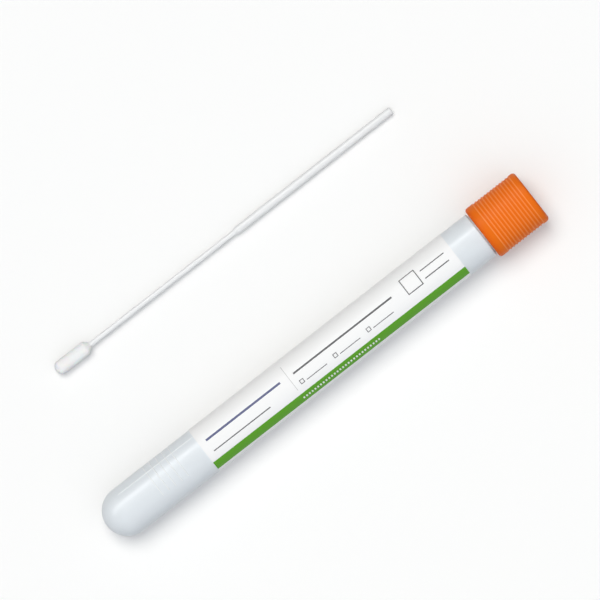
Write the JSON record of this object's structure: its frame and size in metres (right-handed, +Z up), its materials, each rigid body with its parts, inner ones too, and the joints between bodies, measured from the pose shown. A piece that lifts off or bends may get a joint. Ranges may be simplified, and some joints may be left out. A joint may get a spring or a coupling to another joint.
{
  "type": "specimen swab tube",
  "caption": "Round-bottomed graduated plastic tube with an orange ribbed screw cap and a wrap-round label, lying beside its flocked swab.",
  "frame": {"origin": "on the surface that the tube and the swab lie on, at the middle of their footprint", "axes": "+X along the tube towards its cap, +Y from the tube towards the swab, +Z up"},
  "size_m": [0.1688, 0.06, 0.0189],
  "materials": {
    "tube_plastic": "translucent moulded polypropylene",
    "cap_plastic": "satin moulded polyethylene",
    "liner_foam": "fine closed-cell foam",
    "label_film": "satin white film with one green printed band",
    "shaft_plastic": "pale moulded plastic",
    "flock": "short white flock"
  },
  "bodies": {
    "tube_body": {"tube": "tube_plastic", "label": "label_film", "swab_shaft": "shaft_plastic", "swab_tip": "flock"},
    "liner_body": {"cap_liner": "liner_foam"},
    "cap_body": {"cap": "cap_plastic"}
  },
  "joints": [
    {"name": "cap_lift", "type": "slide", "parent": "tube_body", "child": "liner_body", "axis": [1, 0, 0.0095], "range_m": [0, 0.006]},
    {"name": "cap_turn", "type": "hinge", "parent": "liner_body", "child": "cap_body", "pos_m": [0.07556, -0.02067, 0.00944], "axis": [1, 0, 0.0095], "range_deg": [0, 360]}
  ],
  "couplings": [
    {"joint": "cap_lift", "follows": "cap_turn", "m_per_rad": 0.00095493}
  ]
}
